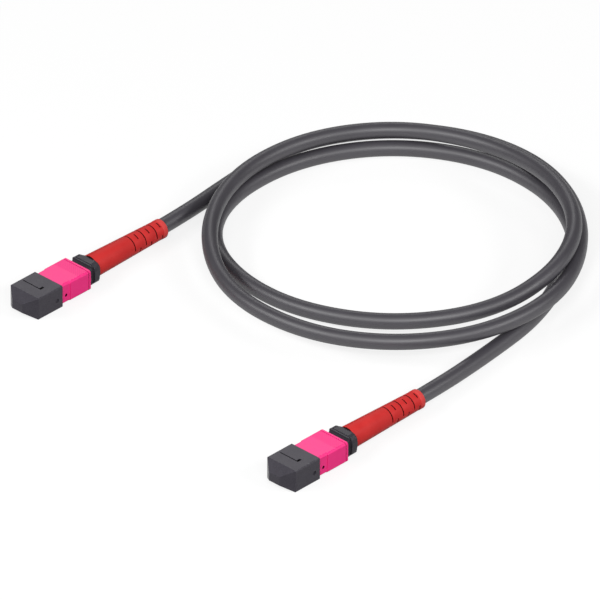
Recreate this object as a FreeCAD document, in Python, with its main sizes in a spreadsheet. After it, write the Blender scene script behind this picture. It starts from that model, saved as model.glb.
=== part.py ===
import FreeCAD, Part
import math
import os
import Sketcher

# Fibre optic patch cable: a loose coil of round cable with the same multi-fibre push-on plug on both ends.
# Millimetres. X runs along both plugs from nose to cable, Z is up, and the surface it lies on is Z = 0.
# Each plug is built about its own axis, with x = 0 at the front of the coupling sleeve.

DIMENSIONS = {
    # where the two plugs and the coil lie
    "plug_a_x": -10.4,
    "plug_b_x": -27.7,
    "plug_y": 67.65,
    "coil_x": 95.7,
    "coil_y": 10.25,
    # dust cap
    "cap_width": 13.2,
    "cap_height": 8.3,
    "cap_back": -0.2,
    "cap_shoulder": -11.4,
    "cap_tip": -15.0,
    "cap_tip_width": 4.6,
    "cap_tip_height": 3.3,
    "cap_edge": 0.35,
    "cap_hollow_width": 9.9,
    "cap_hollow_height": 5.9,
    "cap_hollow_end": -8.1,
    "cap_keyway_width": 3.4,
    "cap_keyway_top": 3.55,
    "cap_keyway_end": -6.3,
    "cap_line_x": -6.9,
    "cap_line_width": 0.45,
    "cap_line_left": 5.4,
    "cap_line_right": -3.0,
    "cap_line_depth": 0.4,
    "cap_slot_length": 1.9,
    "cap_slot_width": 1.0,
    "cap_slot_depth": 0.8,
    "cap_dimple_d": 1.5,
    "cap_dimple_x": -2.7,
    "cap_dimple_z": -0.6,
    "cap_dimple_depth": 0.5,
    # coupling sleeve
    "sleeve_width": 12.4,
    "sleeve_height": 7.6,
    "sleeve_length": 14.0,
    "sleeve_front_width": 11.8,
    "sleeve_front_end": 4.0,
    "sleeve_edge": 0.6,
    "sleeve_bevel": 0.45,
    "sleeve_bore_width": 10.7,
    "sleeve_bore_height": 6.3,
    "sleeve_line_x": 12.5,
    "sleeve_line_width": 0.3,
    "sleeve_line_depth": 0.25,
    "sight_hole_d": 1.1,
    "sight_hole_x": 2.2,
    "sight_hole_z": -0.85,
    "tab_front": 4.5,
    "tab_back": 5.3,
    "tab_inner": 4.3,
    "tab_height": 1.0,
    # inner housing
    "nose_front": -6.8,
    "nose_width": 9.6,
    "nose_height": 5.6,
    "nose_edge": 0.4,
    "housing_start": 0.2,
    "housing_end": 13.0,
    "housing_width": 10.4,
    "housing_height": 6.0,
    "window_width": 6.6,
    "window_height": 2.7,
    "shoulder_x": -1.0,
    "cavity_width": 7.6,
    "cavity_height": 4.5,
    "channel_front": 4.4,
    "channel_back": 11.6,
    "channel_height": 1.3,
    "channel_floor": 4.2,
    "key_width": 3.0,
    "key_height": 0.6,
    "key_front": -5.8,
    "key_back": -0.8,
    "latch_front": 11.0,
    "latch_back": 12.4,
    "latch_width": 3.0,
    # ferrule and what pushes it
    "ferrule_tip": -7.3,
    "ferrule_width": 6.4,
    "ferrule_height": 2.5,
    "flange_front": -0.9,
    "flange_back": 0.7,
    "flange_width": 7.2,
    "flange_height": 3.2,
    "guide_hole_d": 0.7,
    "guide_hole_pitch": 4.6,
    "glue_window_length": 1.6,
    "glue_window_width": 2.6,
    "glue_window_x": -4.4,
    "glue_window_depth": 0.5,
    "spacer_front": 0.8,
    "spacer_back": 2.3,
    "spacer_width": 7.0,
    "spacer_height": 4.1,
    "spacer_opening_width": 3.5,
    "spacer_opening_height": 1.7,
    "fibre_boot_front": 0.8,
    "fibre_boot_back": 4.6,
    "fibre_boot_width": 3.0,
    "fibre_boot_height": 1.1,
    "fibre_slot_width": 2.6,
    "fibre_slot_height": 0.5,
    "ribbon_front": 3.0,
    "ribbon_back": 27.4,
    "ribbon_width": 2.4,
    "ribbon_height": 0.3,
    # springs, of square wire
    "float_spring_front": 2.42,
    "float_spring_back": 8.68,
    "float_spring_radius": 2.0,
    "float_spring_wire": 0.3,
    "float_spring_turns": 4,
    "coupling_spring_front": 5.35,
    "coupling_spring_back": 11.55,
    "coupling_spring_y": 4.78,
    "coupling_spring_radius": 0.39,
    "coupling_spring_wire": 0.2,
    "coupling_spring_turns": 4,
    "spring_runs": 8,
    # rear body
    "rear_front": 8.8,
    "rear_inner_width": 7.4,
    "rear_inner_height": 4.3,
    "neck_front": 13.05,
    "neck_width": 9.0,
    "neck_height": 5.6,
    "bar_front": 15.6,
    "bar_back": 16.2,
    "bar_width": 9.0,
    "bar_height": 7.4,
    "bar_edge": 0.3,
    "block_front": 16.4,
    "block_back": 18.7,
    "block_width": 10.8,
    "block_height": 7.6,
    "block_round": 2.2,
    "seat_back": 19.5,
    "seat_width": 9.8,
    "seat_height": 7.0,
    "seat_round": 2.6,
    "hook_front": 11.2,
    "hook_back": 12.2,
    "hook_width": 2.6,
    "hook_top": 2.85,
    "spigot_end": 27.5,
    "spigot_d": 5.5,
    "fibre_way_width": 3.2,
    "fibre_way_height": 0.8,
    # crimp ring and strain relief boot
    "crimp_front": 20.0,
    "crimp_back": 31.0,
    "crimp_bore_d": 5.6,
    "crimp_corner_d": 6.9,
    "boot_front": 19.55,
    "boot_back": 53.2,
    "boot_d": 8.2,
    "boot_tail_d": 6.7,
    "boot_collar_x": 51.3,
    "boot_collar_step": 0.12,
    "boot_flats": 20,
    "boot_socket_d": 7.1,
    "boot_socket_end": 31.2,
    "boot_bore_d": 5.7,
    "boot_turn": 22.0,
    "slot_first": 37.2,
    "slot_pitch": 2.65,
    "slot_width": 0.45,
    "slot_floor_d": 6.3,
    "long_slot_angle": 152,
    "short_slot_angle": 40,
    "slot_rings": 3,
    # cable
    "cable_d": 5.5,
    "cable_sides": 8,
    "cable_start": 27.6,
    "cable_exit": 58.5,
    "coil_radius": 63.2,
    "coil_lean": 44.0,
    "coil_step": 30.0,
}

doc = FreeCAD.newDocument("fibre_optic_patch_cable")
sheet = doc.addObject("Spreadsheet::Sheet", "Sheet")
for row, (alias, value) in enumerate(DIMENSIONS.items(), start=1):
    sheet.set(f"A{row}", alias)
    sheet.set(f"B{row}", str(value))
    sheet.setAlias(f"B{row}", alias)
doc.recompute()

made = []


def size(alias):
    return float(sheet.get(alias))


def bound(expression):
    """The expression with each dimension's name led by the sheet's."""
    words = expression.replace("(", "( ").replace(")", " )").split()
    return " ".join(f"Sheet.{word}" if word in DIMENSIONS else word for word in words)


# Bodies and sketches


def new_body(name):
    body = doc.addObject("PartDesign::Body", name)
    body.Label = name
    made.append(body)
    return body


def origin_feature(body, role):
    return next(item for item in body.Origin.OriginFeatures if item.Role == role)


def new_sketch(body, role, level):
    """A sketch on one of the body's origin planes, moved along the plane's normal to a level."""
    sketch = body.newObject("Sketcher::SketchObject", "Sketch")
    sketch.AttachmentSupport = (origin_feature(body, role), [""])
    sketch.MapMode = "FlatFace"
    sketch.setExpression("AttachmentOffset.Base.z", bound(level))
    return sketch


def hold(sketch, name, kind, geometry, point, expression, start):
    """Holds one coordinate of a sketch point at an expression's value, measured from the sketch's origin."""
    sketch.addConstraint(Sketcher.Constraint(kind, -1, 1, geometry, point, start))
    sketch.renameConstraint(sketch.ConstraintCount - 1, name)
    sketch.setExpression(f"Constraints.{name}", bound(expression))


def outline_sketch(body, role, level, corners):
    """A closed outline of straight lines through corners that are pairs of expressions."""
    sketch = new_sketch(body, role, level)
    count = len(corners)
    ring = []
    for i in range(count):
        angle = math.radians(225 + 360 * i / count)
        ring.append(FreeCAD.Vector(2 * math.cos(angle), 2 * math.sin(angle), 0))
    for i in range(count):
        sketch.addGeometry(Part.LineSegment(ring[i], ring[(i + 1) % count]))
    for i in range(count):
        sketch.addConstraint(Sketcher.Constraint("Coincident", i, 2, (i + 1) % count, 1))
    for i, (across, up) in enumerate(corners):
        hold(sketch, f"across_{i}", "DistanceX", i, 1, across, ring[i].x)
        hold(sketch, f"up_{i}", "DistanceY", i, 1, up, ring[i].y)
    return sketch


def box_corners(low_x, low_y, high_x, high_y):
    return [(low_x, low_y), (high_x, low_y), (high_x, high_y), (low_x, high_y)]


def plate_corners(width, height, edge=None):
    """A rectangle about the origin, with its corners cut if an edge size is given."""
    w = f"( {width} ) / 2"
    h = f"( {height} ) / 2"
    if edge is None:
        return box_corners(f"- {w}", f"- {h}", w, h)
    return [
        (f"- {w} + {edge}", f"- {h}"),
        (f"{w} - {edge}", f"- {h}"),
        (w, f"- {h} + {edge}"),
        (w, f"{h} - {edge}"),
        (f"{w} - {edge}", h),
        (f"- {w} + {edge}", h),
        (f"- {w}", f"{h} - {edge}"),
        (f"- {w}", f"- {h} + {edge}"),
    ]


def round_plate(width, height, radius):
    """A rectangle about the origin with rounded corners, each drawn as three short sides."""
    corners = []
    for quarter, (across, up) in enumerate((("-", "-"), ("+", "-"), ("+", "+"), ("-", "+"))):
        for step in range(4):
            angle = 180 + 90 * quarter + 30 * step
            x = f"{across} ( {width} / 2 - {radius} ) + {radius} * cos( {angle} )"
            y = f"{up} ( {height} / 2 - {radius} ) + {radius} * sin( {angle} )"
            corners.append((x, y))
    return corners


def circle_sketch(body, role, level, across, up, diameter):
    sketch = new_sketch(body, role, level)
    middle = FreeCAD.Vector(1, 1, 0)
    sketch.addGeometry(Part.Circle(middle, FreeCAD.Vector(0, 0, 1), 0.5))
    hold(sketch, "across", "DistanceX", 0, 3, across, middle.x)
    hold(sketch, "up", "DistanceY", 0, 3, up, middle.y)
    sketch.addConstraint(Sketcher.Constraint("Diameter", 0, 1.0))
    sketch.renameConstraint(sketch.ConstraintCount - 1, "diameter")
    sketch.setExpression("Constraints.diameter", bound(diameter))
    return sketch


# Features. A pad grows from its low level, and a pocket is sunk from its high level.


def pad(body, role, low, high, corners):
    feature = body.newObject("PartDesign::Pad", "Pad")
    feature.Profile = outline_sketch(body, role, low, corners)
    feature.setExpression("Length", bound(f"( {high} ) - ( {low} )"))
    return feature


def round_pad(body, low, high, diameter):
    feature = body.newObject("PartDesign::Pad", "RoundPad")
    feature.Profile = circle_sketch(body, "YZ_Plane", low, "0", "0", diameter)
    feature.setExpression("Length", bound(f"( {high} ) - ( {low} )"))
    return feature


def pocket(body, role, low, high, corners):
    feature = body.newObject("PartDesign::Pocket", "Pocket")
    feature.Profile = outline_sketch(body, role, high, corners)
    feature.setExpression("Length", bound(f"( {high} ) - ( {low} )"))
    return feature


def round_pocket(body, role, low, high, across, up, diameter):
    feature = body.newObject("PartDesign::Pocket", "RoundPocket")
    feature.Profile = circle_sketch(body, role, high, across, up, diameter)
    feature.setExpression("Length", bound(f"( {high} ) - ( {low} )"))
    return feature


def loft(body, role, first, last):
    """A solid that changes from one outline to another; each is a level and its corners."""
    feature = body.newObject("PartDesign::AdditiveLoft", "Loft")
    feature.Profile = outline_sketch(body, role, *first)
    feature.Sections = [outline_sketch(body, role, *last)]
    return feature


def place(body, side, turn=None):
    """Lays a body on its plug's axis, turned about that axis if an angle is given."""
    body.setExpression("Placement.Base.x", f"Sheet.plug_{side}_x")
    body.setExpression("Placement.Base.y", "Sheet.plug_y" if side == "a" else "-Sheet.plug_y")
    body.setExpression("Placement.Base.z", "Sheet.cap_height / 2")
    if turn is not None:
        body.Placement = FreeCAD.Placement(FreeCAD.Vector(), FreeCAD.Rotation(FreeCAD.Vector(1, 0, 0), turn))


# The plug's pieces


def dust_cap(side):
    body = new_body(f"dust_cap_{side}")
    pad(body, "YZ_Plane", "cap_tip", "cap_back", plate_corners("cap_width", "cap_height", "cap_edge"))
    for hand in ("+", "-"):
        for plane, across, depth in (("XZ_Plane", "height", "width"), ("XY_Plane", "width", "height")):
            wall, tip = f"{hand} cap_{across} / 2", f"{hand} cap_tip_{across} / 2"
            slope = [("cap_shoulder", wall), ("cap_tip", tip), ("cap_tip", wall)]
            pocket(body, plane, f"- cap_{depth} / 2", f"cap_{depth} / 2", slope)
    hollow = plate_corners("cap_hollow_width", "cap_hollow_height")
    pocket(body, "YZ_Plane", "cap_hollow_end", "cap_back", hollow)
    keyway = box_corners("- cap_keyway_width / 2", "0", "cap_keyway_width / 2", "cap_keyway_top")
    pocket(body, "YZ_Plane", "cap_keyway_end", "cap_back", keyway)
    top = "cap_height / 2"
    line = box_corners("cap_line_x", "cap_line_right", "cap_line_x + cap_line_width", "cap_line_left")
    pocket(body, "XY_Plane", f"{top} - cap_line_depth", top, line)
    slot_left = "cap_line_right + cap_slot_width"
    slot = box_corners("cap_line_x", "cap_line_right", "cap_line_x + cap_slot_length", slot_left)
    pocket(body, "XY_Plane", f"{top} - cap_slot_depth", top, slot)
    wall = "cap_width / 2"
    for low, high in ((f"{wall} - cap_dimple_depth", wall), (f"- {wall}", f"- {wall} + cap_dimple_depth")):
        round_pocket(body, "XZ_Plane", low, high, "cap_dimple_x", "cap_dimple_z", "cap_dimple_d")
    place(body, side)


def coupling_sleeve(side):
    body = new_body(f"coupling_sleeve_{side}")
    front = plate_corners("sleeve_front_width", "sleeve_height", "sleeve_edge")
    grip = plate_corners("sleeve_width", "sleeve_height", "sleeve_edge")
    waist = plate_corners(
        "sleeve_width - 2 * sleeve_line_depth", "sleeve_height - 2 * sleeve_line_depth", "sleeve_edge"
    )
    back = plate_corners("sleeve_width - 2 * sleeve_bevel", "sleeve_height - 2 * sleeve_bevel", "sleeve_edge")
    line_back = "sleeve_line_x + sleeve_line_width"
    bevel_front = "sleeve_length - sleeve_bevel"
    pad(body, "YZ_Plane", "0", "sleeve_front_end", front)
    pad(body, "YZ_Plane", "sleeve_front_end", "sleeve_line_x", grip)
    pad(body, "YZ_Plane", "sleeve_line_x", line_back, waist)
    pad(body, "YZ_Plane", line_back, bevel_front, grip)
    loft(body, "YZ_Plane", (bevel_front, grip), ("sleeve_length", back))
    bore = plate_corners("sleeve_bore_width", "sleeve_bore_height")
    pocket(body, "YZ_Plane", "0", "sleeve_length", bore)
    wall = "sleeve_bore_width / 2 + 0.2"
    low, high = "- tab_height / 2", "tab_height / 2"
    pad(body, "YZ_Plane", "tab_front", "tab_back", box_corners("tab_inner", low, wall, high))
    pad(body, "YZ_Plane", "tab_front", "tab_back", box_corners(f"- ( {wall} )", low, "- tab_inner", high))
    side_wall = "sleeve_front_width / 2"
    round_pocket(body, "XZ_Plane", f"{side_wall} - 1", side_wall, "sight_hole_x", "sight_hole_z", "sight_hole_d")
    place(body, side)


def inner_housing(side):
    body = new_body(f"inner_housing_{side}")
    nose = plate_corners("nose_width", "nose_height", "nose_edge")
    middle = plate_corners("housing_width", "housing_height", "nose_edge")
    pad(body, "YZ_Plane", "nose_front", "housing_start", nose)
    pad(body, "YZ_Plane", "housing_start", "housing_end", middle)
    key_top = "nose_height / 2 + key_height"
    key = box_corners("- key_width / 2", "0", "key_width / 2", key_top)
    pad(body, "YZ_Plane", "key_front", "key_back", key)
    cavity = plate_corners("cavity_width", "cavity_height")
    pocket(body, "YZ_Plane", "shoulder_x", "housing_end", cavity)
    window = plate_corners("window_width", "window_height")
    pocket(body, "YZ_Plane", "nose_front", "shoulder_x", window)
    low, high, wall = "- channel_height / 2", "channel_height / 2", "housing_width / 2"
    right = box_corners("channel_floor", low, wall, high)
    left = box_corners(f"- {wall}", low, "- channel_floor", high)
    for channel in (right, left):
        pocket(body, "YZ_Plane", "channel_front", "channel_back", channel)
    top = "housing_height / 2"
    latch = box_corners("latch_front", "- latch_width / 2", "latch_back", "latch_width / 2")
    pocket(body, "XY_Plane", f"- {top}", top, latch)
    place(body, side)


def many_sided(edge, sides, radius):
    """A polygon round the start of an edge of a path, square to it."""
    start = edge.valueAt(edge.FirstParameter)
    turn = FreeCAD.Rotation(FreeCAD.Vector(0, 0, 1), edge.tangentAt(edge.FirstParameter))
    corners = []
    for i in range(sides):
        angle = 2 * math.pi * i / sides
        corners.append(start + turn.multVec(FreeCAD.Vector(radius * math.cos(angle), radius * math.sin(angle), 0)))
    return Part.makePolygon(corners + corners[:1])


def spring(name, kind, side, across):
    """A coil of square wire in short straight runs, about a line along X that lies across from the plug's axis."""
    words = ("front", "back", "radius", "wire", "turns")
    front, back, radius, wire, turns = (size(f"{kind}_{word}") for word in words)
    runs = int(turns * size("spring_runs"))
    points = []
    for i in range(runs + 1):
        angle = 2 * math.pi * i / size("spring_runs")
        x = front + wire / 2 + (back - front - wire) * i / runs
        points.append(FreeCAD.Vector(x, across + radius * math.cos(angle), radius * math.sin(angle)))
    path = Part.makePolygon(points)
    feature = doc.addObject("Part::Feature", name)
    feature.Label = name
    feature.Shape = path.makePipeShell([many_sided(path.Edges[0], 4, wire / math.sqrt(2))], True, False, 1)
    made.append(feature)
    place(feature, side)


def springs(side):
    spring(f"coupling_spring_left_{side}", "coupling_spring", side, size("coupling_spring_y"))
    spring(f"coupling_spring_right_{side}", "coupling_spring", side, -size("coupling_spring_y"))
    spring(f"ferrule_spring_{side}", "float_spring", side, 0)


def mt_ferrule(side):
    body = new_body(f"mt_ferrule_{side}")
    pad(body, "YZ_Plane", "ferrule_tip", "flange_front", plate_corners("ferrule_width", "ferrule_height"))
    pad(body, "YZ_Plane", "flange_front", "flange_back", plate_corners("flange_width", "flange_height"))
    for hand in ("-", "+"):
        middle = f"{hand} guide_hole_pitch / 2"
        round_pocket(body, "YZ_Plane", "ferrule_tip", "flange_back", middle, "0", "guide_hole_d")
    top = "ferrule_height / 2"
    half = "glue_window_width / 2"
    back = "glue_window_x + glue_window_length"
    pocket(body, "XY_Plane", f"{top} - glue_window_depth", top, box_corners("glue_window_x", f"- {half}", back, half))
    opening = plate_corners("fibre_slot_width", "fibre_slot_height")
    pocket(body, "YZ_Plane", "flange_front", "flange_back", opening)
    place(body, side)


def ferrule_spacer(side):
    body = new_body(f"ferrule_spacer_{side}")
    pad(body, "YZ_Plane", "spacer_front", "spacer_back", plate_corners("spacer_width", "spacer_height"))
    opening = plate_corners("spacer_opening_width", "spacer_opening_height")
    pocket(body, "YZ_Plane", "spacer_front", "spacer_back", opening)
    place(body, side)


def ferrule_boot(side):
    body = new_body(f"ferrule_boot_{side}")
    outside = plate_corners("fibre_boot_width", "fibre_boot_height")
    pad(body, "YZ_Plane", "fibre_boot_front", "fibre_boot_back", outside)
    opening = plate_corners("fibre_slot_width", "fibre_slot_height")
    pocket(body, "YZ_Plane", "fibre_boot_front", "fibre_boot_back", opening)
    place(body, side)


def fibre_ribbon(side):
    body = new_body(f"fibre_ribbon_{side}")
    pad(body, "YZ_Plane", "ribbon_front", "ribbon_back", plate_corners("ribbon_width", "ribbon_height"))
    place(body, side)


def rear_body(side):
    body = new_body(f"rear_body_{side}")
    pad(body, "YZ_Plane", "rear_front", "neck_front", plate_corners("rear_inner_width", "rear_inner_height"))
    hook = plate_corners("hook_width", "2 * hook_top")
    pad(body, "YZ_Plane", "hook_front", "hook_back", hook)
    neck = plate_corners("neck_width", "neck_height", "sleeve_edge")
    pad(body, "YZ_Plane", "neck_front", "block_front", neck)
    pad(body, "YZ_Plane", "bar_front", "bar_back", plate_corners("bar_width", "bar_height", "bar_edge"))
    block = round_plate("block_width", "block_height", "block_round")
    seat = round_plate("seat_width", "seat_height", "seat_round")
    pad(body, "YZ_Plane", "block_front", "block_back", block)
    pad(body, "YZ_Plane", "block_back", "seat_back", seat)
    round_pad(body, "seat_back", "spigot_end", "spigot_d")
    fibre_way = plate_corners("fibre_way_width", "fibre_way_height")
    pocket(body, "YZ_Plane", "rear_front", "spigot_end", fibre_way)
    place(body, side)


def crimp_ring(side):
    body = new_body(f"crimp_ring_{side}")
    corners = [ring_point("crimp_corner_d / 2", f"{60 * i}") for i in range(6)]
    pad(body, "YZ_Plane", "crimp_front", "crimp_back", corners)
    round_pocket(body, "YZ_Plane", "crimp_front", "crimp_back", "0", "0", "crimp_bore_d")
    place(body, side)


def ring_point(radius, angle):
    """A corner at an angle from straight up, both given as expressions."""
    return (f"( {radius} ) * sin( {angle} )", f"( {radius} ) * cos( {angle} )")


def strain_relief_boot(side):
    body = new_body(f"strain_relief_boot_{side}")
    round_pad(body, "boot_front", "boot_collar_x", "boot_d + 0.2")
    slope = [
        ("boot_front", "boot_d / 2"),
        ("boot_collar_x", "boot_tail_d / 2"),
        ("boot_collar_x", "boot_d / 2 + 1"),
        ("boot_front", "boot_d / 2 + 1"),
    ]
    repeat_round(body, pocket(body, "XZ_Plane", "- boot_d / 2", "boot_d / 2", slope), int(size("boot_flats")))
    round_pad(body, "boot_collar_x", "boot_back", "boot_tail_d + 2 * boot_collar_step")
    round_pocket(body, "YZ_Plane", "boot_front", "boot_back", "0", "0", "boot_bore_d")
    round_pocket(body, "YZ_Plane", "boot_front", "boot_socket_end", "0", "0", "boot_socket_d")
    for ring in range(int(size("slot_rings"))):
        slot_ring(body, 2 * ring, "long_slot_angle", 4, 2)
        slot_ring(body, 2 * ring + 1, "short_slot_angle", 2, 4)
    place(body, side, size("boot_turn"))


def repeat_round(body, feature, count):
    """Repeats a feature evenly round the plug's axis."""
    pattern = body.newObject("PartDesign::PolarPattern", "Round")
    pattern.Originals = [feature]
    pattern.Axis = (origin_feature(body, "X_Axis"), [""])
    pattern.Angle = 360
    pattern.Occurrences = count
    body.Tip = pattern


def slot_ring(body, station, angle, pieces, count):
    """One ring of equal slots round the boot, at a station counted from the first ring."""
    front = f"slot_first + {station} * slot_pitch"
    angles = [f"{angle} * {i / pieces - 0.5}" for i in range(pieces + 1)]
    floor = [ring_point("slot_floor_d / 2", turn) for turn in angles]
    outside = [ring_point("boot_d / 2 + 1", turn) for turn in reversed(angles)]
    repeat_round(body, pocket(body, "YZ_Plane", front, f"{front} + slot_width", floor + outside), count)


# The cable. Steps of the coil go round from the back, where its strands lean away from the plugs:
# step, how far outside the coil's radius, how far the turn is shifted along the lean, and height.
FLOOR = size("cable_d") / 2
COIL_STATIONS = [
    (-1, 0, 5.5, FLOOR),
    (0, 0.5, 5, FLOOR),
    (1, 0.5, 2.5, 4.4),
    (2, -0.5, -1, 7.8),
    (3, 0.5, -7, 8.9),
    (4, 2, -14, 9.4),
    (5, 1, -16.5, 9.6),
    (6, 0, -16, 9),
    (7, 0, -14, 7.6),
    (8, 2, -11, 7.6),
    (9, 0.5, -8, 8.7),
    (10, 0, -4.5, 8.8),
    (11, -0.5, -3, 8.7),
    (12, -2, -1, 8.2),
    (13, -3, -4.5, 10.4),
    (14, -2.5, -9, 13.8),
    (15, -1.5, -11, 15),
    (16, -0.5, -8, 13.6),
    (17, 2, -3, 10),
    (18, 2.5, 3, 6.6),
    (19, 0, 4, 4.4),
    (20, -2, 2.5, 3.1),
    (21, -1, -1, FLOOR),
    (22, 0, -5.5, FLOOR),
    (25, 0, -6, FLOOR),
    (26, -1.5, -5, FLOOR),
    (27, -1.5, -3.5, FLOOR),
]
TAIL_A_POINTS = [(88.5, 73.8, FLOOR)]
TAIL_B_POINTS = [(117.5, -47.3, FLOOR), (91.5, -59.25, FLOOR), (63, -63.75, 3)]


def between_stations(step):
    """The outward, shift and height values at a step, from the stations on either side of it."""
    later = next(i for i, station in enumerate(COIL_STATIONS) if station[0] >= step)
    if COIL_STATIONS[later][0] == step:
        return COIL_STATIONS[later][1:]
    low, high = COIL_STATIONS[later - 1], COIL_STATIONS[later]
    share = (step - low[0]) / (high[0] - low[0])
    return [a + share * (b - a) for a, b in zip(low[1:], high[1:])]


def coil_points():
    lean = math.radians(size("coil_lean"))
    points = []
    for step in range(COIL_STATIONS[0][0], COIL_STATIONS[-1][0] + 1):
        outward, shift, height = between_stations(step)
        angle = lean - math.radians(size("coil_step") * step)
        radius = size("coil_radius") + outward
        x = size("coil_x") + radius * math.cos(angle) + shift * math.cos(lean)
        y = size("coil_y") + radius * math.sin(angle) + shift * math.sin(lean)
        points.append((x, y, height))
    return points


def cable_route():
    """Every point of the cable's route, from inside one boot to inside the other."""
    axis = size("cap_height") / 2
    start, out = size("cable_start"), size("cable_exit")
    a, b, y = size("plug_a_x"), size("plug_b_x"), size("plug_y")
    route = [(a + start, y, axis), (a + out, y, axis)]
    route += TAIL_A_POINTS + coil_points() + TAIL_B_POINTS
    route += [(b + out, -y, axis), (b + start, -y, axis)]
    return [FreeCAD.Vector(*point) for point in route]


def bend(before, corner, after):
    """The arc that rounds one corner of the route, as large as its two runs allow, and its radius."""
    back, ahead = before - corner, after - corner
    reach = 0.45 * min(back.Length, ahead.Length)
    half_turn = (math.pi - back.getAngle(ahead)) / 2
    radius = reach / math.tan(half_turn)
    back.normalize()
    ahead.normalize()
    inward = (back + ahead).normalize()
    middle = corner + inward * radius * (1 / math.cos(half_turn) - 1)
    return Part.Arc(corner + back * reach, middle, corner + ahead * reach), radius


def tube(name, route, first, last):
    """The cable between two corners of the route, or from one of its ends: straight runs and tangent arcs.
    Where the tube stops at a corner's run and not at the route's end, it is cut at the run's middle."""
    edges, radii = [], []
    here = route[0] if first == 0 else (route[first] + route[first + 1]) * 0.5
    end = route[-1] if last == len(route) - 1 else (route[last - 1] + route[last]) * 0.5
    for i in range(first + 1, last):
        arc, radius = bend(route[i - 1], route[i], route[i + 1])
        edges.append(Part.LineSegment(here, arc.StartPoint).toShape())
        edges.append(arc.toShape())
        here = arc.EndPoint
        radii.append(round(radius))
    edges.append(Part.LineSegment(here, end).toShape())
    path = Part.Wire(edges)
    section = many_sided(edges[0], int(size("cable_sides")), size("cable_d") / 2)
    shape = path.makePipeShell([section], True, False)
    area = Part.Face(section).Area
    print(f"{name}: radii {radii}, length {path.Length:.1f}, volume share {shape.Volume / (area * path.Length):.4f}")
    feature = doc.addObject("Part::Feature", name)
    feature.Label = name
    feature.Shape = shape
    feature.Placement = FreeCAD.Placement()
    made.append(feature)
    return path.Length


def cable():
    route = cable_route()
    coil_first = 2 + len(TAIL_A_POINTS)
    coil_last = len(route) - 3 - len(TAIL_B_POINTS)
    length = tube("cable_tail_a", route, 0, coil_first)
    length += tube("cable_coil", route, coil_first - 1, coil_last + 1)
    length += tube("cable_tail_b", route, coil_last, len(route) - 1)
    print(f"cable length {length:.1f}")


# Build both plugs and the cable, test every solid, and write one file for each

for side in ("a", "b"):
    dust_cap(side)
    coupling_sleeve(side)
    inner_housing(side)
    springs(side)
    mt_ferrule(side)
    ferrule_spacer(side)
    ferrule_boot(side)
    fibre_ribbon(side)
    rear_body(side)
    crimp_ring(side)
    strain_relief_boot(side)
cable()
doc.recompute()

for item in doc.Objects:
    if "Invalid" in item.State or "Error" in item.State:
        raise RuntimeError(f"{item.Name} ({item.Label}) has state {item.State}")
os.makedirs("parts", exist_ok=True)
for item in made:
    if item.Shape.isNull() or not item.Shape.isValid():
        raise RuntimeError(f"{item.Label} has no valid shape")
    item.Shape.exportStep(f"parts/{item.Label}.step")
    print(f"{item.Label}: {len(item.Shape.Solids)} solid, {item.Shape.Volume:.2f} mm3")
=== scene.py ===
# %% [markdown]
# # A fibre optic patch cable on a white table
# The real object is one round black cable, about 1.15 m long, lying in a loose coil. Each end has the
# same plug: a magenta sleeve under a black dust cap, a black rear body and a red slotted boot. The
# solids come from the CAD model, in metres, and this lesson gives them their finishes, lays the cable as
# one smooth curve, and photographs the whole.

# %% Load the solids
import math

import bpy
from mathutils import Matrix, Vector


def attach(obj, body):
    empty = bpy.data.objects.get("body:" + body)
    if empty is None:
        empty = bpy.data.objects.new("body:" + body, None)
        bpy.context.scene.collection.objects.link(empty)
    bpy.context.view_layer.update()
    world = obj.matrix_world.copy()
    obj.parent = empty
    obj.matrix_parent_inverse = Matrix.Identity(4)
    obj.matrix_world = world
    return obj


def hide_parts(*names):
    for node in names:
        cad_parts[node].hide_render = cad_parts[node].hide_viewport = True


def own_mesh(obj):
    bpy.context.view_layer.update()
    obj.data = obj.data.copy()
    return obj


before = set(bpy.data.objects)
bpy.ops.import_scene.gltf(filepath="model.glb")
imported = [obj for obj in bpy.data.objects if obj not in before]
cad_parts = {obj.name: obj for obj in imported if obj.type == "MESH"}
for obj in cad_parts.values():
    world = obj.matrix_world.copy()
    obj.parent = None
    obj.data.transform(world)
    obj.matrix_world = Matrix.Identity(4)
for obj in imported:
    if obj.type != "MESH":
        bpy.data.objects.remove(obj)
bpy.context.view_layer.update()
MM = 0.001

# %% [markdown]
# ## The camera
# The photograph looks down at the coil by about 32 degrees, with both plugs pointing to the lower left,
# and nothing grows towards the viewer: it was taken, or drawn, from far away. A very long lens from
# several metres away gives that flat look. An orthographic camera would too, but a lens also lets the
# other views find their own distance.

# %% Set up the camera
CAMERA_AZIMUTH = -46.0
CAMERA_ELEVATION = 32.0
LOOK_AT = Vector((44.5, 4.75, 2.5)) * MM
FRAME_WIDTH = 199.2 * MM
SENSOR_WIDTH = 36.0
LENS = 1200


def stand(data, azimuth, elevation, distance):
    """Stands a camera or a lamp so many degrees round the coil and up, looking at the coil."""
    around = math.radians(azimuth)
    up = math.radians(elevation)
    back = Vector((math.sin(around) * math.cos(up), -math.cos(around) * math.cos(up), math.sin(up)))
    stood = bpy.data.objects.new(data.name, data)
    bpy.context.scene.collection.objects.link(stood)
    stood.location = LOOK_AT + back * distance
    stood.rotation_mode = "QUATERNION"
    stood.rotation_quaternion = (-back).to_track_quat("-Z", "Y")
    return stood


def add_camera():
    data = bpy.data.cameras.new("camera")
    data.lens = LENS
    data.sensor_width = SENSOR_WIDTH
    data.clip_start = 0.1
    data.clip_end = 100
    return stand(data, CAMERA_AZIMUTH, CAMERA_ELEVATION, FRAME_WIDTH * LENS / SENSOR_WIDTH)


camera = add_camera()
bpy.context.scene.camera = camera
print("camera stands", round((camera.location - LOOK_AT).length, 2), "m away")

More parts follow.
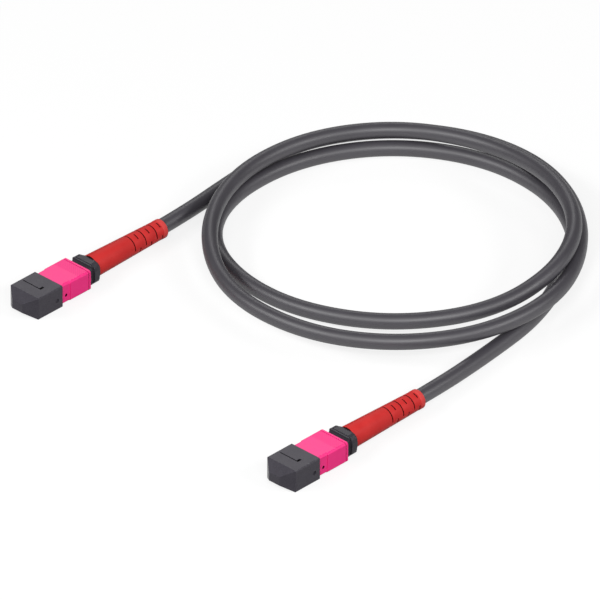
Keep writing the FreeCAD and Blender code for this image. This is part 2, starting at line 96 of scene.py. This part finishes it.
# %% [markdown]
# ## The cable
# A patch cable is springy, so it lies in wide even turns that cross over each other in low humps. It
# leaves plug a along the table, goes round the coil, and comes back to plug b. A NURBS curve with a
# round bevel suits it: the control points are the corners of the CAD tube's route, and the curve rounds
# them off by itself. The two free stretches are a given list. The coil's points are worked out
# from a few stations: the step round the coil, how far outside its radius, how far the turn is shifted
# along the coil's lean, and its height above the table.

# %% Lay out the cable's route
CABLE_D = 5.5
FLOOR = CABLE_D / 2
PLUG_X = {"a": -10.4, "b": -27.7}
PLUG_Y = {"a": 67.65, "b": -67.65}
PLUG_AXIS = 4.15
COIL_CENTRE = (95.7, 10.25)
COIL_RADIUS = 63.2
COIL_LEAN = math.radians(44)
COIL_STEP = math.radians(30)
COIL_STATIONS = [
    (-1, 0, 5.5, FLOOR), (0, 0.5, 5, FLOOR), (1, 0.5, 2.5, 4.4), (2, -0.5, -1, 7.8), (3, 0.5, -7, 8.9),
    (4, 2, -14, 9.4), (5, 1, -16.5, 9.6), (6, 0, -16, 9), (7, 0, -14, 7.6), (8, 2, -11, 7.6),
    (9, 0.5, -8, 8.7), (10, 0, -4.5, 8.8), (11, -0.5, -3, 8.7), (12, -2, -1, 8.2), (13, -3, -4.5, 10.4),
    (14, -2.5, -9, 13.8), (15, -1.5, -11, 15), (16, -0.5, -8, 13.6), (17, 2, -3, 10), (18, 2.5, 3, 6.6),
    (19, 0, 4, 4.4), (20, -2, 2.5, 3.1), (21, -1, -1, FLOOR), (22, 0, -5.5, FLOOR), (25, 0, -6, FLOOR),
    (26, -1.5, -5, FLOOR), (27, -1.5, -3.5, FLOOR),
]
TAIL_A = [(17.2, PLUG_Y["a"], PLUG_AXIS), (48.1, PLUG_Y["a"], PLUG_AXIS), (88.5, 73.8, FLOOR)]
TAIL_B = [
    (117.5, -47.3, FLOOR), (91.5, -59.25, FLOOR), (63, -63.75, 3),
    (30.8, PLUG_Y["b"], PLUG_AXIS), (-0.1, PLUG_Y["b"], PLUG_AXIS),
]


def coil_point(step):
    """The coil's point at a step, in even shares between the stations before and after it."""
    after = next(i for i, station in enumerate(COIL_STATIONS) if station[0] >= step)
    low = COIL_STATIONS[max(after - 1, 0)]
    high = COIL_STATIONS[after]
    share = (step - low[0]) / (high[0] - low[0]) if high[0] != low[0] else 0
    outward, shift, height = (a + share * (b - a) for a, b in zip(low[1:], high[1:]))
    angle = COIL_LEAN - COIL_STEP * step
    x = COIL_CENTRE[0] + (COIL_RADIUS + outward) * math.cos(angle) + shift * math.cos(COIL_LEAN)
    y = COIL_CENTRE[1] + (COIL_RADIUS + outward) * math.sin(angle) + shift * math.sin(COIL_LEAN)
    return (x, y, height)


coil = [coil_point(step) for step in range(COIL_STATIONS[0][0], COIL_STATIONS[-1][0] + 1)]
cable_route = TAIL_A + coil + TAIL_B
print("cable route has", len(cable_route), "points,", len(coil), "of them in the coil")

# %% [markdown]
# ## The cable's round section
# A bevel gives the curve its round section. A curve's own box grows by each point's radius, which starts
# at one metre, so here the points carry the cable's real radius and the bevel is 1. A bevel of the real
# radius draws the same tube, with a box two metres wide round it.

# %% Draw the cable along its route


def add_cable():
    curve = bpy.data.curves.new("cable", "CURVE")
    curve.dimensions = "3D"
    spline = curve.splines.new("NURBS")
    spline.points.add(len(cable_route) - 1)
    for point, place in zip(spline.points, cable_route):
        point.co = (*(Vector(place) * MM), 1)
        point.radius = CABLE_D / 2 * MM
    spline.order_u = 3
    spline.use_endpoint_u = True
    spline.resolution_u = 12
    curve.bevel_depth = 1.0
    curve.bevel_resolution = 8
    curve.use_fill_caps = True
    cable = bpy.data.objects.new("cable", curve)
    bpy.context.scene.collection.objects.link(cable)
    return cable


cable = add_cable()
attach(cable, "cable")
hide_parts("cable_tail_a", "cable_coil", "cable_tail_b")
print("cable length in mm:", round(sum(s.calc_length() for s in cable.data.splines) / MM))

# %% [markdown]
# ## Shader sums in plain Python
# A finish is a small sum: a colour, a little noise, a grain. Wiring every node by hand hides that sum,
# so this class wraps one socket and lets Python's own signs build the nodes. Anything that is not a sum
# goes through one method, which makes a node, sets its settings first, and then fills its sockets with
# numbers or links.

# %% Wrap a shader socket
# Blender's Mix node also has number and vector sockets, so its colour sockets are found by their places.
MIX_FIRST = 6
MIX_SECOND = 7
MIX_RESULT = 2


class Socket:
    def __init__(self, tree, socket=None):
        self.tree = tree
        self.socket = socket

    def node(self, kind, settings=None, inputs=None, output=0):
        made = self.tree.nodes.new(kind)
        for name, setting in (settings or {}).items():
            setattr(made, name, setting)
        for name, value in (inputs or {}).items():
            if isinstance(value, Socket):
                self.tree.links.new(value.socket, made.inputs[name])
            else:
                made.inputs[name].default_value = value
        return Socket(self.tree, made.outputs[output] if made.outputs else None)

    def sum(self, operation, *values):
        return self.node("ShaderNodeMath", {"operation": operation}, dict(enumerate(values)))

    def __add__(self, other):
        return self.sum("ADD", self, other)

    def __radd__(self, other):
        return self.sum("ADD", other, self)

    def __sub__(self, other):
        return self.sum("SUBTRACT", self, other)

    def __rsub__(self, other):
        return self.sum("SUBTRACT", other, self)

    def __mul__(self, other):
        return self.sum("MULTIPLY", self, other)

    def __rmul__(self, other):
        return self.sum("MULTIPLY", other, self)

    def __truediv__(self, other):
        return self.sum("DIVIDE", self, other)

    def __gt__(self, other):
        return self.sum("GREATER_THAN", self, other)

    def __lt__(self, other):
        return self.sum("LESS_THAN", self, other)

    def __abs__(self):
        return self.sum("ABSOLUTE", self)

    def sine(self):
        return self.sum("SINE", self)

    def root(self):
        return self.sum("SQRT", self)

    def between(self, low, high):
        """1 where this value lies between the two, and 0 elsewhere."""
        return (self > low) * (self < high)

    def mix(self, first, second):
        """This value picks between two colours, each three numbers or a socket."""
        colours = [(*colour, 1) if isinstance(colour, tuple) else colour for colour in (first, second)]
        return self.node(
            "ShaderNodeMix", {"data_type": "RGBA", "clamp_factor": True},
            {"Factor": self, MIX_FIRST: colours[0], MIX_SECOND: colours[1]}, output=MIX_RESULT,
        )

    def noise(self, where, size_mm, detail=2):
        spots = {"Vector": where, "Scale": 1 / (size_mm * MM), "Detail": detail}
        return self.node("ShaderNodeTexNoise", inputs=spots)

    def bump(self, height_mm, strength):
        """This value, from 0 to 1, as a relief that many millimetres high."""
        relief = {"Height": self, "Distance": height_mm * MM, "Strength": strength}
        return self.node("ShaderNodeBump", inputs=relief)

    def surface(self, **sockets):
        """The plastic or metal itself, wired to the material's output."""
        titles = {name: name.replace("_", " ").title().replace("Ior", "IOR") for name in sockets}
        named = {titles[name]: value for name, value in sockets.items()}
        return self.output(self.node("ShaderNodeBsdfPrincipled", inputs=named))

    def output(self, shader):
        return self.node("ShaderNodeOutputMaterial", inputs={"Surface": shader})


print("a socket can", ", ".join(name for name in vars(Socket) if not name.startswith("_")))

# %% [markdown]
# ## A finish and its pieces
# Every finish starts as an empty material. Its noises read the place on the piece in metres, which
# Blender calls object coordinates, so a grain has its real size, needs no unwrapping, and moves with the
# piece. Both plugs have the same pieces, with a or b at the end of the name, so one helper writes each
# name for both.

# %% Start a finish and give it to pieces
ENDS = ("a", "b")


def new_finish(name):
    material = bpy.data.materials.new(name)
    material.use_nodes = True
    material.node_tree.nodes.clear()
    start = Socket(material.node_tree)
    where = start.node("ShaderNodeTexCoord", output="Object")
    return material, start, where


def give(material, *names):
    for name in names:
        piece = bpy.data.objects[name]
        piece.data.materials.clear()
        piece.data.materials.append(material)
    print(material.name, "on", len(names), "pieces")


def both(*names):
    return [f"{name}_{end}" for name in names for end in ENDS]


print("pieces at both ends, such as", both("dust_cap"))

# %% [markdown]
# ## The jacket
# The cable's jacket is extruded halogen-free plastic: a cool dark grey, half glossy, with a very fine
# grain and faint waves where the extruder pulled it. One fine noise makes the grain as a bump, and a
# longer one shades the colour and the gloss a little. An image of a jacket would repeat along a metre of
# cable; noise never does.

# %% Finish the jacket
jacket, start, where = new_finish("jacket")
grain = start.noise(where, size_mm=0.35)
waves = start.noise(where, size_mm=9)
start.surface(
    base_color=waves.mix((0.034, 0.031, 0.039), (0.05, 0.046, 0.056)),
    roughness=0.46 + 0.06 * waves,
    specular_ior_level=1.0,
    normal=grain.bump(height_mm=0.005, strength=0.4),
)
give(jacket, "cable", "cable_tail_a", "cable_coil", "cable_tail_b")

# %% [markdown]
# ## The black mouldings
# Dust cap, housing and rear body are black glass-filled plastic. Moulds for such parts are spark-eroded,
# which leaves a fine texture, and the cap is handled most, so it is greyer. A fine noise bump gives the
# texture, and a broad one the cloudy gloss that fingers leave. The mark recessed into the cap's top gets
# painted shade, a near black. Its place is known on the plug, so the finish finds it by position, in
# millimetres from the sleeve's front, and the mesh needs no second material.

# %% Finish the caps, housings and rear bodies
MARK_ALONG = (-7.0, -4.9)
MARK_UP = (3.0, 3.95)
MARK_HALF_WIDTH = 5.5
# The near black of the painted shade in the cap's recessed mark.
MARK_PAINTED_SHADE = (0.006, 0.006, 0.007)


def plug_place(start, where, end):
    """Millimetres along a plug from its sleeve's front, across it and up from its axis."""
    x, y, z = (
        start.node("ShaderNodeSeparateXYZ", inputs={"Vector": where}, output=axis) / MM for axis in "XYZ"
    )
    return x - PLUG_X[end], y - PLUG_Y[end], z - PLUG_AXIS


def black_moulding(name, dark, pale, roughness, relief_mm, marked=None):
    material, start, where = new_finish(name)
    texture = start.noise(where, size_mm=0.4, detail=4)
    clouds = start.noise(where, size_mm=3.5)
    # Both noises average one half, and so does this shade.
    shade = 0.6 * clouds + 1.2 * texture - 0.4
    colour = shade.mix(dark, pale)
    # Painted shade: the recessed mark, below the cap's top, is coloured near black.
    if marked:
        along, across, up = plug_place(start, where, marked)
        painted_recess_shade = up.between(*MARK_UP) * along.between(*MARK_ALONG) * (abs(across) < MARK_HALF_WIDTH)
        colour = painted_recess_shade.mix(colour, MARK_PAINTED_SHADE)
    start.surface(
        base_color=colour,
        roughness=roughness + 0.12 * clouds,
        specular_ior_level=0.12,
        normal=texture.bump(relief_mm, strength=0.6),
    )
    return material


for end in ENDS:
    cap = black_moulding(
        f"cap plastic {end}", (0.04, 0.0365, 0.046), (0.067, 0.0625, 0.076),
        roughness=0.3, relief_mm=0.014, marked=end,
    )
    give(cap, f"dust_cap_{end}")
housing = black_moulding(
    "housing plastic", (0.012, 0.012, 0.013), (0.02, 0.02, 0.021), roughness=0.42, relief_mm=0.01,
)
give(housing, *both("inner_housing"))
rear = black_moulding(
    "rear body plastic", (0.03, 0.0275, 0.0345), (0.052, 0.0485, 0.058), roughness=0.3, relief_mm=0.01,
)
give(rear, *both("rear_body"))

# %% [markdown]
# ## The magenta sleeve
# The sleeve's colour tells the fibre grade, so it is dyed right through: a strong magenta, semi-gloss.
# The rear half of its broad faces has a stipple for the fingers, whose pits get painted shade. The
# narrow groove before its back end and the small hole in its side get painted shade as well. Two sine
# waves, along and across, make the stipple's even rows of pits, where a noise would look like leather.
# All three are kept in their places by the position on the plug, as the cap's mark was.

# %% Finish the sleeves
STIPPLE_ALONG = (8.0, 12.5)
STIPPLE_FACE = 3.7
STIPPLE_PITCH = 0.9
STIPPLE_WAVE = 2 * math.pi / STIPPLE_PITCH
PIT_EDGE = 0.35
PIT_PAINTED_SHADE = 0.16
GROOVE_ALONG = (12.5, 12.8)
GROOVE_PAINTED_SHADE = 0.45
SIGHT_HOLE = (2.2, -0.85)
SIGHT_HOLE_REACH = 0.6
SIDE_SKIN = 5.82
# The dark magenta of the painted shade in the pits, the groove and the sight hole.
PAINTED_SHADE_MAGENTA = (0.1, 0.003, 0.02)


def length(first, second):
    return (first * first + second * second).root()


def sleeve_plastic(end):
    material, start, where = new_finish(f"sleeve plastic {end}")
    along, across, up = plug_place(start, where, end)
    stippled = along.between(*STIPPLE_ALONG) * (abs(up) > STIPPLE_FACE)
    grid = (STIPPLE_WAVE * along).sine() * (STIPPLE_WAVE * across).sine()
    # Painted shade in the stipple's pits.
    pits = PIT_PAINTED_SHADE * stippled * (grid > PIT_EDGE)
    # Painted shade in the narrow groove.
    groove = GROOVE_PAINTED_SHADE * along.between(*GROOVE_ALONG)
    # Painted shade inside the sight hole.
    from_hole = length(along - SIGHT_HOLE[0], up - SIGHT_HOLE[1])
    hole_painted_shade = (from_hole < SIGHT_HOLE_REACH) * (abs(across) < SIDE_SKIN)
    clouds = start.noise(where, size_mm=4)
    magenta = clouds.mix((0.88, 0.026, 0.215), (0.94, 0.042, 0.25))
    start.surface(
        base_color=(groove + hole_painted_shade + pits).mix(magenta, PAINTED_SHADE_MAGENTA),
        roughness=0.28 + 0.04 * stippled + 0.06 * clouds,
        specular_ior_level=0.1,
        normal=(stippled * grid).bump(height_mm=0.03, strength=0.2),
    )
    return material


for end in ENDS:
    give(sleeve_plastic(end), f"coupling_sleeve_{end}")

# %% [markdown]
# ## The red boot
# The boot is soft red elastomer, matt, and it bends with the cable at its slots. Soft mouldings show
# flow marks, so the red shifts a little over a few millimetres, and the surface is faintly uneven. The
# end collar is paler, a painted highlight where its rounded end catches the light, and the slots are
# painted dark red, a painted shade. Both come from the place on the plug: the collar from the distance
# along it, and the slots from lying deeper than the boot's tapered skin.

# %% Finish the boots
BOOT_FRONT = 19.55
BOOT_RADIUS = 4.1
COLLAR_START = 51.3
COLLAR_RADIUS = 3.35
BOOT_TAPER = (BOOT_RADIUS - COLLAR_RADIUS) / (COLLAR_START - BOOT_FRONT)
# The painted highlight on the rounded end collar: its share and its paler red.
COLLAR_PAINTED_HIGHLIGHT = 0.5
PAINTED_HIGHLIGHT_RED = (0.72, 0.09, 0.085)
SLOT_DEPTH = 0.1
# The dark red of the painted shade in the slots.
SLOT_PAINTED_SHADE = (0.05, 0.006, 0.006)


def boot_elastomer(end):
    material, start, where = new_finish(f"boot elastomer {end}")
    along, across, up = plug_place(start, where, end)
    flow = start.noise(where, size_mm=5, detail=3)
    grain = start.noise(where, size_mm=0.3)
    red = flow.mix((0.50, 0.022, 0.022), (0.62, 0.038, 0.036))
    # Painted highlight: the end collar is mixed halfway to a paler red.
    red_with_highlight = (COLLAR_PAINTED_HIGHLIGHT * (along > COLLAR_START)).mix(red, PAINTED_HIGHLIGHT_RED)
    # Painted shade: what lies deeper than the tapered skin, the slots, is coloured dark red.
    painted_recess_shade = length(across, up) < BOOT_RADIUS - SLOT_DEPTH - BOOT_TAPER * (along - BOOT_FRONT)
    start.surface(
        base_color=painted_recess_shade.mix(red_with_highlight, SLOT_PAINTED_SHADE),
        roughness=0.46 + 0.14 * flow,
        specular_ior_level=0.12,
        normal=grain.bump(height_mm=0.01, strength=0.5),
    )
    return material


for end in ENDS:
    give(boot_elastomer(end), f"strain_relief_boot_{end}")

# %% [markdown]
# ## Wound springs
# Three springs work in each plug: two thin ones push the sleeve forward, and a wide one lets the ferrule
# float. A spring is a round wire wound on a mandrel, with its end turns closed up. The CAD springs are
# made of straight runs to stay light, so each is wound again here as a curve with a round bevel and
# turned into a mesh. Each mesh keeps its rest length; nothing here shortens it as the sleeve or the
# ferrule moves in.

# %% Wind the springs
STEPS_PER_TURN = 24
SPRING_SIDE = 4.78
SLEEVE_TRAVEL = 1.5
FERRULE_TRAVEL = 0.8


def wind_spring(name, end, front, back, across, radius, wire, turns, travel):
    curve = bpy.data.curves.new(name, "CURVE")
    curve.dimensions = "3D"
    spline = curve.splines.new("POLY")
    spline.points.add(STEPS_PER_TURN * (turns + 2))
    # The two closed end turns, and half a wire at each end, take three wires from the length.
    pitch = (back - front - 3 * wire) / turns
    for i, point in enumerate(spline.points):
        turned = i / STEPS_PER_TURN
        closed = min(turned, 1) + max(turned - 1 - turns, 0)
        along = front + wire / 2 + closed * wire + min(max(turned - 1, 0), turns) * pitch
        angle = 2 * math.pi * turned
        place = Vector((
            PLUG_X[end] + along,
            PLUG_Y[end] + across + radius * math.cos(angle),
            PLUG_AXIS + radius * math.sin(angle),
        ))
        point.co = (*(place * MM), 1)
    curve.bevel_depth = wire / 2 * MM
    curve.bevel_resolution = 2
    curve.use_fill_caps = True
    coiled = bpy.data.objects.new(name, curve)
    spring = bpy.data.objects.new(f"wound_{name}", bpy.data.meshes.new_from_object(coiled))
    bpy.data.objects.remove(coiled)
    bpy.context.scene.collection.objects.link(spring)
    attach(spring, "cable")
    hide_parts(name)
    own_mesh(spring)
    print(spring.name, "has", turns + 2, "turns and gives", travel, "mm")


for end in ENDS:
    for hand, across in (("left", SPRING_SIDE), ("right", -SPRING_SIDE)):
        wind_spring(
            f"coupling_spring_{hand}_{end}", end, front=5.35, back=11.55, across=across,
            radius=0.39, wire=0.2, turns=4, travel=SLEEVE_TRAVEL,
        )
    wind_spring(
        f"ferrule_spring_{end}", end, front=2.42, back=8.68, across=0,
        radius=2.0, wire=0.3, turns=4, travel=FERRULE_TRAVEL,
    )

# %% [markdown]
# ## The parts inside
# Pull off a cap and slide back a sleeve, and the fine work shows: the ferrule's dark resin filled with
# glass beads, steel springs, a bright crimp ring, a pale spacer, a soft ferrule boot, and the ribbon
# that carries the fibres. Each could have a shader of its own, but one helper is enough here: two close
# colours, mixed by a noise of the material's own grain, which also roughens it.

# %% Finish the parts inside


def plain_finish(name, dark, pale, roughness, speck_mm, metal=0.0):
    material, start, where = new_finish(name)
    specks = start.noise(where, speck_mm, detail=3)
    start.surface(
        base_color=specks.mix(dark, pale),
        roughness=roughness + 0.1 * specks,
        metallic=metal,
        normal=specks.bump(height_mm=0.006, strength=0.5),
    )
    return material


resin = plain_finish("ferrule resin", (0.010, 0.010, 0.011), (0.03, 0.03, 0.032), 0.32, speck_mm=0.05)
give(resin, *both("mt_ferrule"))
pale_plastic = plain_finish("spacer plastic", (0.62, 0.6, 0.55), (0.7, 0.68, 0.63), 0.4, speck_mm=0.6)
give(pale_plastic, *both("ferrule_spacer"))
rubber = plain_finish("ferrule boot rubber", (0.02, 0.02, 0.022), (0.04, 0.04, 0.042), 0.6, speck_mm=0.4)
give(rubber, *both("ferrule_boot"))
coating = plain_finish("ribbon coating", (0.02, 0.4, 0.45), (0.03, 0.5, 0.55), 0.35, speck_mm=0.5)
give(coating, *both("fibre_ribbon"))
steel = plain_finish("spring steel", (0.5, 0.5, 0.49), (0.62, 0.61, 0.6), 0.24, speck_mm=0.3, metal=1.0)
give(steel, *both("wound_coupling_spring_left", "wound_coupling_spring_right", "wound_ferrule_spring"))
crimp = plain_finish("crimp metal", (0.62, 0.55, 0.38), (0.72, 0.64, 0.45), 0.26, speck_mm=0.4, metal=1.0)
give(crimp, *both("crimp_ring"))

# %% [markdown]
# ## Moulded edges
# No moulded edge is a perfect corner: the mould's cutter leaves a small radius, and that radius catches
# the light. A bevel modifier rounds every sharp edge by a tenth of a millimetre or two without touching
# the CAD mesh below it. The weld before it joins the corners that the CAD mesh keeps apart, so the bevel
# can see both faces of an edge. On the flat-sided pieces the bevel also hardens the normals, which keeps
# the flats flat.

# %% Round the edges
WELD_GAP = 0.002
SHARP_EDGE = math.radians(40)


def round_edges(names, radius_mm, flat_sided=True):
    for name in names:
        piece = bpy.data.objects[name]
        weld = piece.modifiers.new("weld", "WELD")
        weld.merge_threshold = WELD_GAP * MM
        bevel = piece.modifiers.new("moulded edge", "BEVEL")
        bevel.width = radius_mm * MM
        bevel.segments = 3
        bevel.limit_method = "ANGLE"
        bevel.angle_limit = SHARP_EDGE
        bevel.use_clamp_overlap = True
        bevel.harden_normals = flat_sided
    print("rounded by", radius_mm, "mm:", len(names), "pieces")


round_edges(both("dust_cap"), 0.18)
round_edges(both("coupling_sleeve"), 0.12)
round_edges(both("rear_body"), 0.15)
round_edges(both("inner_housing"), 0.1)
round_edges(both("strain_relief_boot"), 0.08, flat_sided=False)

# %% [markdown]
# ## A round boot
# The CAD boot is a turned shape cut into twenty flats, and its real skin is round. A few small geometry
# nodes shade it smooth everywhere except at edges sharper than the step from one flat to the next.
# Painting the normals by hand, or adding faces, would do the same with more work and more triangles.

# %% Shade the boots round
# The twenty flats meet at 18 degrees, so this angle tells them from real creases.
CREASE = math.radians(24)


def shade_round(names):
    tree = bpy.data.node_groups.new("shade round", "GeometryNodeTree")
    tree.is_modifier = True
    for way in ("INPUT", "OUTPUT"):
        tree.interface.new_socket("Geometry", in_out=way, socket_type="NodeSocketGeometry")
    start = Socket(tree)
    piece = start.node("NodeGroupInput")
    smooth = start.node(
        "GeometryNodeSetShadeSmooth", {"domain": "FACE"}, {"Geometry": piece, "Shade Smooth": True},
    )
    creased = start.node("GeometryNodeInputMeshEdgeAngle") > CREASE
    kept = start.node(
        "GeometryNodeSetShadeSmooth", {"domain": "EDGE"},
        {"Geometry": smooth, "Selection": creased, "Shade Smooth": False},
    )
    start.node("NodeGroupOutput", inputs={"Geometry": kept})
    for name in names:
        bpy.data.objects[name].modifiers.new("shade round", "NODES").node_group = tree
    print("shaded round:", len(names), "pieces")


shade_round(both("strain_relief_boot"))

# %% [markdown]
# ## The fibre ends
# Twelve fibres end in the ferrule's polished face, a quarter of a millimetre apart: under a lens they
# are twelve bright dots in a row. Each is a short glass cylinder as thick as a fibre, standing a few
# micrometres proud, as polishing leaves it. They are one small mesh for each plug, and they float with
# the ferrule.

# %% Set the fibre ends
FIBRES = 12
FIBRE_PITCH = 0.25
FIBRE_RADIUS = 0.0625
FIBRE_SIDES = 16
FIBRE_PROUD = 0.008
FIBRE_SUNK = 0.05
FERRULE_FACE = -7.3


def add_fibre_ends(end):
    points = []
    faces = []
    for fibre in range(FIBRES):
        across = PLUG_Y[end] + (fibre - (FIBRES - 1) / 2) * FIBRE_PITCH
        first = len(points)
        for along in (-FIBRE_PROUD, FIBRE_SUNK):
            for side in range(FIBRE_SIDES):
                angle = 2 * math.pi * side / FIBRE_SIDES
                points.append(MM * Vector((
                    PLUG_X[end] + FERRULE_FACE + along,
                    across + FIBRE_RADIUS * math.cos(angle),
                    PLUG_AXIS + FIBRE_RADIUS * math.sin(angle),
                )))
        faces.append([first + side for side in range(FIBRE_SIDES)])
        back = first + FIBRE_SIDES
        for side in range(FIBRE_SIDES):
            after = (side + 1) % FIBRE_SIDES
            faces.append([first + side, first + after, back + after, back + side])
    mesh = bpy.data.meshes.new(f"fibre_ends_{end}")
    mesh.from_pydata(points, [], faces)
    ends = bpy.data.objects.new(f"fibre_ends_{end}", mesh)
    bpy.context.scene.collection.objects.link(ends)
    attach(ends, f"ferrule_{end}")
    print(ends.name, "holds", FIBRES, "fibres")


for end in ENDS:
    add_fibre_ends(end)
glass = plain_finish("fibre glass", (0.55, 0.62, 0.66), (0.62, 0.7, 0.74), 0.12, speck_mm=0.05)
give(glass, *both("fibre_ends"))

# %% [markdown]
# ## The white table
# The photograph's ground is plain white. More lamps could turn a pale table white, but they would wash
# out the cable. So where the camera, a reflection or a clear piece looks at the table, it sees white
# light of strength 1, mixed with some of the table's own paint so that the cable still casts a soft
# shadow. Light that bounces off the table comes from a plain grey, which keeps the undersides dark, and
# the world is a dim plain grey, which keeps the cable's upper edges dark.

# %% Lay the table
TABLE_WIDTH = 60
WHITE = (1, 1, 1, 1)


def seen_directly(start):
    """1 for a ray from the camera, a reflection or a clear piece, and 0 for bounced light."""
    by_camera, by_mirror, by_glass = (
        start.node("ShaderNodeLightPath", output=name)
        for name in ("Is Camera Ray", "Is Glossy Ray", "Is Transmission Ray")
    )
    return start.sum("MINIMUM", by_camera + by_mirror + by_glass, 1.0)


def lay_table(own_paint, bounce):
    bpy.ops.mesh.primitive_plane_add(size=TABLE_WIDTH, location=(0, 0, 0))
    table = bpy.context.object
    table.name = "table"
    material, start, _ = new_finish("white table")
    painted = start.node("ShaderNodeBsdfDiffuse", inputs={"Color": WHITE})
    white = start.node("ShaderNodeEmission", inputs={"Color": WHITE, "Strength": 1.0})
    looked_at = start.node("ShaderNodeMixShader", inputs={"Fac": own_paint, 1: white, 2: painted})
    grey = start.node("ShaderNodeBsdfDiffuse", inputs={"Color": (bounce, bounce, bounce, 1)})
    rays = {"Fac": seen_directly(start), 1: grey, 2: looked_at}
    start.output(start.node("ShaderNodeMixShader", inputs=rays))
    table.data.materials.append(material)


def light_world(level):
    world = bpy.data.worlds.new("world")
    world.use_nodes = True
    world.node_tree.nodes.clear()
    start = Socket(world.node_tree)
    sky = start.node("ShaderNodeBackground", inputs={"Color": WHITE, "Strength": level})
    start.node("ShaderNodeOutputWorld", inputs={"Surface": sky})
    bpy.context.scene.world = world


lay_table(own_paint=0.2, bounce=0.1)
light_world(0.12)
bpy.context.scene.view_settings.view_transform = "Standard"
print("the table is white to the camera")

# %% [markdown]
# ## The light
# A round cable shows a pale streak only where it mirrors a lamp. With one lamp the streak fades as the
# coil turns away, so three long strip lamps stand round the front: by the camera, to its left and to its
# right. Between them they also light every face of a plug that the camera sees. A small weak one stands
# low behind, just where the plugs' flat tops mirror it, and gives them their sheen. A lamp's level is
# the share of white that a white face turned to it would show.

# %% Hang the lamps
STRIP_HEIGHT = 0.25
TURN_TO_SIDE = 70
TURN_TO_BACK = 180


def hang_lamp(name, azimuth, elevation, distance, width, level):
    data = bpy.data.lights.new(name, "AREA")
    data.shape = "RECTANGLE"
    data.size = width
    data.size_y = STRIP_HEIGHT
    data.energy = level * math.pi ** 2 * distance ** 2
    stand(data, azimuth, elevation, distance)
    print(name, "gives", round(data.energy, 1), "W")


hang_lamp("camera lamp", CAMERA_AZIMUTH, elevation=40, distance=1.6, width=1.2, level=0.66)
hang_lamp("left lamp", CAMERA_AZIMUTH - TURN_TO_SIDE, elevation=38, distance=1.6, width=1.2, level=0.56)
hang_lamp("right lamp", CAMERA_AZIMUTH + TURN_TO_SIDE, elevation=32, distance=1.6, width=1.2, level=0.42)
hang_lamp(
    "low back lamp", CAMERA_AZIMUTH + TURN_TO_BACK, CAMERA_ELEVATION,
    distance=2.0, width=0.5, level=0.09,
)

# %% [markdown]
